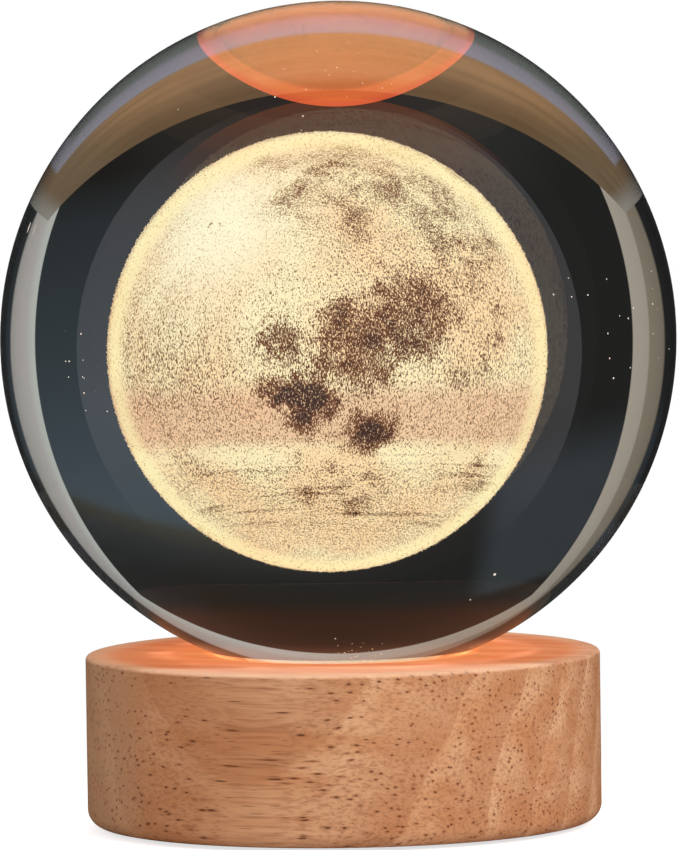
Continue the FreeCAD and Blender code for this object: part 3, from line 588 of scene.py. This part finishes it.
def self_lit(made, colour):
    """Matt, and giving off its own colour without lighting anything else."""
    made.surface(made.shader(inputs={
        "Base Color": made.mix(0.9, colour, (0.0, 0.0, 0.0)), "Roughness": 0.9, "Specular IOR Level": 0.0,
        "Emission Color": colour, "Emission Strength": 1.0}))
    made.material.cycles.emission_sampling = "NONE"


self_lit(moon, moon.mix(struck, ground, cream))
bm = bmesh.new()
bmesh.ops.create_icosphere(bm, subdivisions=6, radius=MOON_RADIUS / 1000,
                           matrix=Matrix.Translation(MOON_CENTRE / 1000))
moon_body = new_object("moon_core", bm, moon.material)
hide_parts("engraved_moon")
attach(moon_body, "ball")

# The cracks stand a little out of the moon's surface, so that they close up towards its edge. A few
# hundred are made one by one, and the rest are copies turned about the moon's middle.
crack = Finish("laser_cracks")
glint = crack.node("ShaderNodeAttribute", {"attribute_name": "glint"}, out="Fac")
self_lit(crack, crack.mix(glint.ramp(0.0, 1.0), tone(176, 128, 88), tone(255, 238, 192)))
random.seed(11)
bm = bmesh.new()
glints = bm.verts.layers.float.new("glint")
for number in range(240):
    out = Vector([random.gauss(0, 1) for axis in range(3)]).normalized()
    spun = Matrix.Rotation(random.uniform(0, 6.28), 4, "Z")
    turned = out.to_track_quat("Z", "Y").to_matrix().to_4x4() @ spun
    stands = Matrix.Translation(out * (MOON_RADIUS + random.uniform(0.0, 0.08)) / 1000)
    made = bmesh.ops.create_cone(bm, cap_ends=True, segments=3, radius1=0.06 / 1000, radius2=0,
                                 depth=random.uniform(0.06, 0.12) / 1000, matrix=stands @ turned)
    shine = random.random()
    for vert in made["verts"]:
        vert[glints] = shine
for doubling in range(6):
    copied = bmesh.ops.duplicate(bm, geom=bm.verts[:] + bm.edges[:] + bm.faces[:])
    axis = Vector([random.gauss(0, 1) for number in range(3)]).normalized()
    bmesh.ops.rotate(bm, cent=(0, 0, 0), matrix=Matrix.Rotation(random.uniform(1, 5), 3, axis),
                     verts=[item for item in copied["geom"] if isinstance(item, bmesh.types.BMVert)])
bmesh.ops.translate(bm, verts=bm.verts, vec=MOON_CENTRE / 1000)

# Only the duller cracks stay over the dark seas.
seas = [(moon_point(latitude, longitude), math.cos(math.radians(radius * 1.05)))
        for latitude, longitude, radius in DARK_SEAS]


def over_dark_sea(place):
    """Whether a place in metres lies over one of the dark seas."""
    out = (place * 1000 - MOON_CENTRE).normalized()
    return any(out.dot(middle) > edge for middle, edge in seas)


too_bright = [face for face in bm.faces
              if face.verts[0][glints] > 0.25 and over_dark_sea(face.verts[0].co)]
bmesh.ops.delete(bm, geom=too_bright, context="FACES")
cracks = new_object("moon_cracks", bm, crack.material)
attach(cracks, "ball")

# Two faint shells of haze lie round the engraving, where the glass scatters a little of its light. The
# grey one fades out at its top and bottom, and the warm one shows only at its top.
for name, centre, radius, colour in (
        ("grey_haze", Vector((-0.75, 0, -0.9)), 19.7, (0.016, 0.0155, 0.0165)),
        ("warm_haze", Vector((0.2, 0, 0.2)), 18.6, (0.04, 0.008, 0.0))):
    haze = Finish(name)
    height = haze.parts(haze.vector("NORMALIZE", haze.place(BALL_CENTRE + centre)))[2]
    if name == "grey_haze":
        fading = height.ramp(-0.8, -0.15) * height.ramp(0.96, 0.62)
    else:
        fading = height.ramp(0.6, 0.98)
    clear = haze.shader("ShaderNodeBsdfTransparent")
    lit = haze.shader("ShaderNodeEmission", {"Color": colour, "Strength": 1.0})
    lit = haze.node("ShaderNodeAddShader", None, {0: clear, 1: lit})
    haze.surface(haze.node("ShaderNodeMixShader", None, {0: fading, 1: clear, 2: lit}))
    haze.material.cycles.emission_sampling = "NONE"
    bm = bmesh.new()
    bmesh.ops.create_uvsphere(bm, u_segments=96, v_segments=48, radius=radius / 1000,
                              matrix=Matrix.Translation((BALL_CENTRE + centre) / 1000))
    shell = new_object("moon_" + name, bm, haze.material)
    shell.visible_shadow = False
    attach(shell, "ball")

# ------------------------------------------------------------------ turned base
# Pale plantation hardwood with its fibres across the lamp, turned on a lathe, sanded and oiled. The
# log's fibres run from the left to the right and 20 degrees forward.


def merged(node):
    """A copy of a CAD piece's mesh with its loose triangles joined, so that round faces shade smoothly."""
    bm = bmesh.new()
    bm.from_mesh(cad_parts[node].data)
    bmesh.ops.remove_doubles(bm, verts=bm.verts, dist=1e-6)
    return bm


def finished(node, body, material, bm=None):
    """Replaces a CAD piece by its merged copy, or by the mesh that is given, in a new material."""
    copy = new_object(node + "_finished", merged(node) if bm is None else bm, material)
    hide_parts(node)
    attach(copy, body)


wood = Finish("pale_wood")
spot = wood.place()
x, y, z = wood.parts(spot)
grown = wood.node("ShaderNodeVectorRotate", {"rotation_type": "Z_AXIS"},
                  {"Vector": spot, "Angle": math.radians(20)})
side = wood.parts(grown)[1]
wander = wood.noise(wood.stretched(grown, 0.03, 0.08, 0.08), 1.0, 1) - 0.5
ring = wood.math("FRACT", (side - z * 0.3 + wander * 5) / 6.5)
bands = ring.ramp(0.0, 0.8) * ring.ramp(1.0, 0.96)
cloud = wood.noise(wood.stretched(grown, 0.03, 0.25, 0.25), 1.0, 3)
wave = wood.noise(wood.stretched(grown, 0.02, 0.2, 0.2), 1.0, 1, 0.5, "Color")
wave = wood.stretched(wood.vector("SUBTRACT", wave, (0.5, 0.5, 0.5)), 0, 1.6, 1.6)
bent = wood.vector("ADD", grown, wave)
fibre = wood.noise(wood.stretched(bent, 0.12, 3.6, 3.6), 1.0, 3, 0.6)
crowd = wood.noise(wood.stretched(grown, 0.04, 0.16, 0.16), 1.0, 2)


def vessels(length, across, low, high):
    """Thin tubes along the fibre: how near a place is to the middle of one."""
    cells = wood.stretched(bent, 1 / length, 1 / across, 1 / across)
    away = wood.node("ShaderNodeTexVoronoi", {"feature": "F1"}, {"Vector": cells, "Scale": 1.0}, "Distance")
    return away.ramp(low, high)


large = vessels(18, 0.64, 0.2, 0.1) * crowd.ramp(0.28, 0.4)
halo = vessels(18, 0.64, 0.5, 0.1) * crowd.ramp(0.28, 0.55)
small = vessels(6, 0.34, 0.24, 0.12) * crowd.ramp(0.3, 0.5)
pore = wood.math("MAXIMUM", large, small * 0.45)
base = wood.mix(cloud.ramp(0.3, 0.7), tone(238, 182, 138), tone(218, 152, 104))
base = wood.mix(bands * 0.42, base, tone(188, 118, 72))
base = wood.mix(fibre.ramp(0.42, 0.7) * 0.55, base, tone(172, 106, 68))
# Painted shade: the wood turns darker and deeper orange towards the left, and greyer near its left edge.
base = wood.mix(x.ramp(-4, -20) * 0.4, base, tone(186, 112, 62))
base = wood.mix(x.ramp(-21, -28) * 0.6, base, tone(192, 148, 110))
base = wood.mix(halo * 0.55, base, tone(164, 92, 52))
base = wood.mix(pore * 0.86, base, tone(102, 52, 28))

# The lamp shines through the wood's top round the seat, in the seat's wall, and comes back from the
# lit ball. That orange light is drawn on the wood, with a pale painted sheen along the front and the
# outer edge of the top.
radius = wood.vector("LENGTH", wood.stretched(spot, 1, 1, 0), out="Value")
near_top = z.ramp(WOOD_TOP - 0.5, WOOD_TOP - 0.05)
warm = radius.ramp(27.5, 15.0) * near_top
hot = radius.ramp(16.8, 15.3) * near_top
streak = radius.ramp(19.5, 21.5) * radius.ramp(24.0, 22.4) * near_top
well = radius.ramp(15.4, 15.15) * z.ramp(12.9, 13.4)
glow = wood.mix(warm * warm, (0.0, 0.0, 0.0), (0.42, 0.085, 0.02))
glow = wood.mix(near_top * radius.ramp(15.5, 21) * radius.ramp(30.3, 26), glow, (0.3, 0.05, 0.015), "ADD")
# Painted sheen: a pale glow on the front of the top and round its outer edge.
glow = wood.mix(near_top * y.ramp(-17, -21), glow, (0.2, 0.17, 0.13), "ADD")
glow = wood.mix(near_top * radius.ramp(26, 29.5), glow, (0.22, 0.13, 0.09), "ADD")
glow = wood.mix(hot, glow, (0.4, 0.08, 0.02), "ADD")
broken = wood.noise(wood.stretched(spot, 0.12, 0.12, 0), 1.0, 1).ramp(0.4, 0.65)
glow = wood.mix(streak * broken, glow, (0.24, 0.1, 0.06), "ADD")
glow = wood.mix(well, glow, (0.95, 0.34, 0.12))
wood.surface(wood.shader(inputs={
    "Base Color": base, "Roughness": 0.42 + fibre * 0.2 + pore * 0.2, "Specular IOR Level": 0.35,
    "Emission Color": glow, "Emission Strength": 1.0,
    "Normal": wood.bump(1 - pore * 0.8 - fibre * 0.15, 0.12, 0.5)}))
finished("wood_base", "base", wood.material)

# ------------------------------------------------------------------ frosted disc
# Opal acrylic, cut round and matt on both faces. It lies under the seat's ledge on the reflector
# cup, and the LEDs light it from below.
disc = Finish("frosted_acrylic")
spot = disc.place()
reach = disc.vector("LENGTH", disc.stretched(spot, 1, 1, 0), out="Value")
frosting = disc.noise(spot, 9, 2)
shine = disc.mix(reach.ramp(5, 15), (1.9, 1.25, 0.66), (1.25, 0.72, 0.34))
shine = disc.mix(frosting.ramp(0.3, 0.7) * 0.1, shine, (1.0, 0.6, 0.3))
disc.surface(disc.shader(inputs={
    "Base Color": disc.mix(frosting, tone(238, 234, 226), tone(226, 221, 212)),
    "Roughness": frosting * 0.2 + 0.5, "Emission Color": shine, "Emission Strength": 1.0,
    "Normal": disc.bump(frosting, 0.02)}))
disc.material.cycles.emission_sampling = "NONE"
finished("lens_disc", "base", disc.material)

# ------------------------------------------------------------------ reflector cup
# White moulded plastic, glossy inside the cone, screwed up into the wood by three ears. Its collar
# holds the LED board by three hooks.


def moulded(name, first, second, grain, rough, depth):
    """Two close colours in soft patches, with a fine grain of this many millimetres on the surface."""
    made = Finish(name)
    spot = made.place()
    patches = made.noise(spot, 0.3, 3)
    fine = made.noise(spot, 1 / grain, 2)
    made.surface(made.shader(inputs={
        "Base Color": made.mix(patches.ramp(0.3, 0.7) * 0.7 + fine * 0.3, first, second),
        "Roughness": fine.ramp(0.3, 0.7) * 0.14 + rough, "Normal": made.bump(fine, depth)}))
    return made.material


finished("reflector_cup", "base",
         moulded("cup_plastic", tone(240, 238, 233), tone(228, 225, 218), 0.5, 0.24, 0.01))

# ------------------------------------------------------------------ LED board
# A round aluminium-backed board under a white mask, its copper tracks raised beneath it. It carries
# seven LEDs with yellow phosphor on top and three chip resistors below.
board = Finish("white_board")
spot = board.place()
reach = board.vector("LENGTH", board.stretched(spot, 1, 1, 0), out="Value")
track = reach.ramp(6.7, 6.9) * reach.ramp(8.2, 8.0)
track = board.math("MAXIMUM", track, reach.ramp(2.9, 3.1) * reach.ramp(4.0, 3.8))
dust = board.noise(spot, 5, 3)
board.surface(board.shader(inputs={
    "Base Color": board.mix(track * 0.6 + dust * 0.2, tone(236, 237, 233), tone(214, 214, 206)),
    "Roughness": dust * 0.2 + 0.3, "Normal": board.bump(track, 0.04)}))
finished("led_board", "base", board.material)

# One LED is in the middle and six are on a circle round it; only their round windows are yellow.
LED_CIRCLE = 5.6
WINDOW_RADIUS = 1.15
WINDOW_HEIGHT = 8.74

lamp_chip = Finish("led_phosphor")
spot = lamp_chip.place()
flat = lamp_chip.stretched(spot, 1, 1, 0)
nearest = lamp_chip.vector("LENGTH", flat, out="Value")
for number in range(6):
    angle = math.radians(60 * number)
    middle = (LED_CIRCLE * math.cos(angle), LED_CIRCLE * math.sin(angle), 0)
    away = lamp_chip.vector("DISTANCE", flat, middle, out="Value")
    nearest = lamp_chip.math("MINIMUM", nearest, away)
on_top = lamp_chip.parts(spot)[2].ramp(WINDOW_HEIGHT - 0.04, WINDOW_HEIGHT + 0.04)
phosphor = nearest.ramp(WINDOW_RADIUS + 0.05, WINDOW_RADIUS - 0.05) * on_top
lamp_chip.surface(lamp_chip.shader(inputs={
    "Base Color": lamp_chip.mix(phosphor, tone(236, 234, 226), tone(244, 204, 72)),
    "Roughness": lamp_chip.noise(spot, 7, 2) * 0.2 + 0.3,
    "Emission Color": lamp_chip.mix(phosphor, (0.0, 0.0, 0.0), (2.6, 1.7, 0.8)), "Emission Strength": 1.0}))
lamp_chip.material.cycles.emission_sampling = "NONE"
finished("leds", "base", lamp_chip.material)


def end_capped(name, middle, half, body_tone, other_tone, cap_tone):
    """A chip part whose two ends along Y are plated."""
    made = Finish(name)
    spot = made.place()
    plated = made.math("ABSOLUTE", made.parts(spot)[1] - middle).ramp(half - 0.02, half + 0.02)
    dust = made.noise(spot, 8, 2)
    body = made.mix(dust, body_tone, other_tone)
    made.surface(made.shader(inputs={
        "Base Color": made.mix(plated, body, cap_tone), "Metallic": plated, "Roughness": dust * 0.25 + 0.25,
        "Normal": made.bump(plated * 0.6 + dust * 0.2, 0.03)}))
    return made.material


finished("led_resistors", "base",
         end_capped("resistor_body", -5.5, 0.65, tone(34, 34, 38), tone(48, 48, 52), tone(206, 207, 208)))

# ------------------------------------------------------------------ leads
# Two stranded copper wires in soft plastic insulation, red and black. They are soldered at one end to
# the power board and at the other to the LED board.
finished("wire_red", "base",
         moulded("red_insulation", tone(186, 30, 26), tone(160, 22, 20), 0.6, 0.35, 0.01))
finished("wire_black", "base",
         moulded("black_insulation", tone(30, 30, 32), tone(44, 44, 47), 0.6, 0.35, 0.01))

# ------------------------------------------------------------------ power board
# A small glass-fibre board with a green mask over its tracks, screwed under the wood beside the
# inlet. A controller chip and a ceramic capacitor sit on its underside.
board = Finish("green_board")
spot = board.place()
across = board.parts(spot)[0]
lane = board.math("FRACT", across * 0.55 + board.noise(board.stretched(spot, 0.1, 0.6, 0), 1.0, 0) * 1.5)
track = lane.ramp(0.3, 0.34) * lane.ramp(0.62, 0.58)
weave = board.noise(board.stretched(spot, 5, 5, 1), 1.0, 2)
board.surface(board.shader(inputs={
    "Base Color": board.mix(track * 0.7 + weave * 0.2, tone(24, 84, 50), tone(46, 122, 72)),
    "Roughness": weave * 0.15 + 0.25, "Normal": board.bump(track, 0.035)}))
finished("power_board", "base", board.material)
finished("control_chip", "base",
         moulded("chip_epoxy", tone(34, 34, 36), tone(46, 46, 49), 0.12, 0.55, 0.01))
finished("board_capacitor", "base",
         end_capped("capacitor_body", 21.1, 0.6, tone(176, 142, 104), tone(160, 126, 88),
                    tone(206, 207, 208)))

# ------------------------------------------------------------------ power inlet
# The shell is folded and plated steel with a lengthwise brushing. Inside it a black tongue carries
# gold contacts on both faces.
metal = Finish("plated_steel")
spot = metal.place()
brushing = metal.noise(metal.stretched(spot, 14, 0.7, 14), 1.0, 2)
metal.surface(metal.shader(inputs={
    "Base Color": metal.mix(brushing, tone(206, 207, 209), tone(176, 177, 180)), "Metallic": 1.0,
    "Roughness": brushing * 0.16 + 0.2, "Normal": metal.bump(brushing, 0.006)}))
finished("usb_shell", "base", metal.material)
finished("usb_tongue", "base",
         moulded("tongue_plastic", tone(24, 24, 26), tone(36, 36, 38), 0.15, 0.45, 0.006))
gold = Finish("gold_plating")
spot = gold.place()
wear = gold.noise(gold.stretched(spot, 8, 1, 8), 1.0, 2)
gold.surface(gold.shader(inputs={
    "Base Color": gold.mix(wear, tone(236, 194, 106), tone(206, 160, 78)), "Metallic": 1.0,
    "Roughness": wear * 0.15 + 0.2}))
finished("usb_contacts", "base", gold.material)

# ------------------------------------------------------------------ push switch and button
# A black switch housing takes a white plunger. The button's cap is black plastic with a rounded face
# and is kept behind the rear panel by its flange.
finished("switch_body", "base",
         moulded("switch_plastic", tone(26, 26, 28), tone(40, 40, 43), 0.2, 0.45, 0.012))
finished("switch_plunger", "button",
         moulded("plunger_plastic", tone(226, 223, 214), tone(208, 204, 194), 0.3, 0.4, 0.01))
finished("power_button", "button",
         moulded("button_plastic", tone(38, 38, 40), tone(52, 52, 55), 0.14, 0.34, 0.008))

# ------------------------------------------------------------------ rear panel
# A black plate with a spark-eroded grain, set into the wood's milled recess, open for the inlet and
# the button and held by two small screws.


def eased(node, width):
    """The merged mesh of a piece with its square edges broken by this many millimetres."""
    bm = merged(node)
    bmesh.ops.dissolve_limit(bm, angle_limit=math.radians(1), verts=bm.verts, edges=bm.edges)
    square = [edge for edge in bm.edges
              if len(edge.link_faces) == 2 and edge.calc_face_angle() > math.radians(60)]
    bmesh.ops.bevel(bm, geom=square, offset=width / 1000, offset_type="OFFSET", segments=2, profile=0.5,
                    affect="EDGES", material=-1)
    bmesh.ops.recalc_face_normals(bm, faces=bm.faces)
    return bm


finished("rear_panel", "base",
         moulded("panel_plastic", tone(34, 34, 36), tone(46, 46, 48), 0.16, 0.5, 0.02),
         eased("rear_panel", 0.18))

# ------------------------------------------------------------------ bottom cover
# A moulded plastic disc in matt black, screwed up under the wood by three countersunk screws. It has
# four round seats for the feet.
cover = Finish("cover_plastic")
spot = cover.place()
reach = cover.vector("LENGTH", cover.stretched(spot, 1, 1, 0), out="Value")
turning = cover.math("SINE", reach * 9)
fine = cover.noise(spot, 7, 2)
cover.surface(cover.shader(inputs={
    "Base Color": cover.mix(fine, tone(36, 36, 38), tone(52, 52, 55)), "Roughness": fine * 0.2 + 0.5,
    "Normal": cover.bump(turning * 0.3 + fine, 0.02)}))
finished("bottom_cover", "base", cover.material, eased("bottom_cover", 0.12))

# ------------------------------------------------------------------ rubber feet
# Four soft rubber rounds pressed into the cover's seats. They stand a little proud of it, so that
# the lamp rests on them alone.
finished("rubber_feet", "base",
         moulded("rubber", tone(40, 40, 41), tone(58, 57, 56), 0.25, 0.75, 0.03))

# ------------------------------------------------------------------ screws
# Cross-head steel screws: three countersunk in the cover, three in the cup's ears, two small ones
# for the power board and two blackened ones for the rear panel.


def cross_screw(bm, place, outline, half, depth):
    """One screw along place's Z: rings of radius and height from its face down, and its cross."""
    fresh = bmesh.new()
    loops = []
    for radius, height in outline:
        ring = bmesh.ops.create_circle(fresh, segments=32, radius=radius / 1000,
                                       matrix=Matrix.Translation((0, 0, height / 1000)))["verts"]
        loops.append(list({edge for vert in ring for edge in vert.link_edges}))
    for first, second in zip(loops, loops[1:]):
        bmesh.ops.bridge_loops(fresh, edges=first + second)
    bmesh.ops.holes_fill(fresh, edges=loops[-1], sides=0)
    slim = half * 0.22
    face = outline[0][1]
    corners = [(slim, slim), (half, slim), (half, -slim), (slim, -slim), (slim, -half), (-slim, -half),
               (-slim, -slim), (-half, -slim), (-half, slim), (-slim, slim), (-slim, half), (slim, half)]
    verts = [fresh.verts.new((x / 1000, y / 1000, face / 1000)) for x, y in corners]
    cross = [fresh.edges.new((verts[index - 1], verts[index])) for index in range(12)]
    bmesh.ops.triangle_fill(fresh, use_beauty=True, edges=cross + loops[0])
    sunk = bmesh.ops.extrude_edge_only(fresh, edges=cross)["geom"]
    low = [item for item in sunk if isinstance(item, bmesh.types.BMVert)]
    bmesh.ops.scale(fresh, vec=(0.7, 0.7, 1.0), verts=low)
    bmesh.ops.translate(fresh, vec=(0, 0, -depth / 1000), verts=low)
    bmesh.ops.contextual_create(fresh, geom=[item for item in sunk if isinstance(item, bmesh.types.BMEdge)
                                             and all(vert in low for vert in item.verts)])
    bmesh.ops.recalc_face_normals(fresh, faces=fresh.faces)
    bmesh.ops.transform(fresh, matrix=place, verts=fresh.verts)
    step = bpy.data.meshes.new("one_screw")
    fresh.to_mesh(step)
    fresh.free()
    bm.from_mesh(step)
    bpy.data.meshes.remove(step)


def steel(name, first, second):
    """Bright or blackened steel with fine turning marks."""
    made = Finish(name)
    wear = made.noise(made.place(), 6, 3)
    made.surface(made.shader(inputs={
        "Base Color": made.mix(wear, first, second), "Metallic": 0.9, "Roughness": wear * 0.2 + 0.25,
        "Normal": made.bump(wear, 0.008)}))
    return made.material


down = Matrix.Rotation(math.pi, 4, "X")
rearward = Matrix.Rotation(-math.pi / 2, 4, "X")
bright = steel("bright_steel", tone(198, 199, 201), tone(168, 169, 172))
black = steel("black_steel", tone(40, 40, 42), tone(58, 58, 61))
SUNK_HEAD = [(1.8, 0), (1.9, -0.08), (1.0, -0.9), (1.0, -5.6), (0.5, -6.0)]
PAN_HEAD = [(1.3, 1.1), (1.75, 0.85), (1.9, 0.45), (1.9, 0), (1.0, 0), (1.0, -5.6), (0.5, -6.0)]
SMALL_HEAD = [(0.85, 0.7), (1.1, 0.55), (1.2, 0.3), (1.2, 0), (0.7, 0), (0.7, -2.9), (0.4, -3.2)]

# The heights of the faces that the heads lie on, the inlet's height, and how far behind the axis the
# rear panel's face is.
COVER_FACE = 0.4
EARS_FACE = 10.2
BOARD_FACE = 10.2
INLET_AXIS = 8.62
PANEL_FACE = 26.6


def circle_of_three(radius, height):
    """Three places at equal angles on a circle round the lamp's axis, the first in front."""
    angles = [math.radians(angle) for angle in (-90, 30, 150)]
    return [(radius * math.cos(angle), radius * math.sin(angle), height) for angle in angles]


# Each row: the CAD node, slot and steel, the screw's outline, the cross's half width and depth, which
# way the head faces, and the places of the heads' seats.
for node, slot, material, outline, half, depth, turned, places in (
        ("cover_screws", "steel", bright, SUNK_HEAD, 1.1, 0.6, down, circle_of_three(23.8, COVER_FACE)),
        ("reflector_screws", "steel", bright, PAN_HEAD, 1.05, 0.6, down, circle_of_three(18.8, EARS_FACE)),
        ("power_board_screws", "steel", bright, SMALL_HEAD, 0.7, 0.4, down,
         [(-10.2, 17.6, BOARD_FACE), (10.2, 17.6, BOARD_FACE)]),
        ("rear_panel_screws", "dark_screw", black, SMALL_HEAD, 0.7, 0.4, rearward,
         [(-13.2, PANEL_FACE, INLET_AXIS), (13.2, PANEL_FACE, INLET_AXIS)])):
    bm = bmesh.new()
    for place in places:
        cross_screw(bm, Matrix.Translation(Vector(place) / 1000) @ turned, outline, half, depth)
    finished(node, "base", material, bm)
